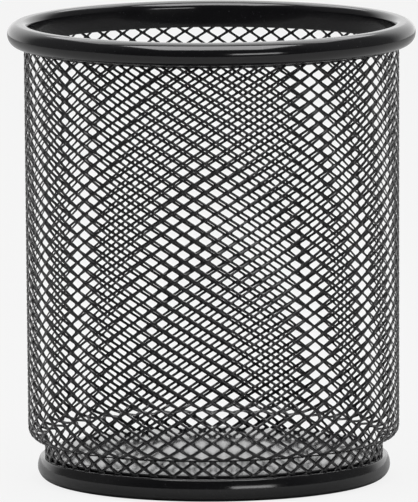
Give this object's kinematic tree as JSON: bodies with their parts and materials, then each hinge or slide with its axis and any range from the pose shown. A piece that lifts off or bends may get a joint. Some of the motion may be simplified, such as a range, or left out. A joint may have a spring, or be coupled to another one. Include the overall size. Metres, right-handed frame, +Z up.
{
  "type": "mesh pen cup",
  "caption": "Round black steel mesh pen cup with a rolled rim, a wall rounded under to a narrower foot ring and a flat floor; it stands on a desk and holds pens.",
  "frame": {"origin": "centre of the foot ring on the desk, at the bottom of the cup", "axes": "+Z up along the cup's axis, out of its mouth; -Y towards the camera of the picture"},
  "size_m": [0.09, 0.09, 0.1],
  "materials": {
    "mesh_black": "semi-gloss black paint on expanded steel",
    "rim_black": "glossy black paint on rolled steel strip",
    "foot_black": "glossy black paint on rolled steel strip",
    "floor_black": "glossy black paint on flat steel sheet"
  },
  "bodies": {
    "root": {"mesh_wall": "mesh_black", "top_rim": "rim_black", "base_ring": "foot_black", "base_plate": "floor_black"}
  },
  "joints": []
}
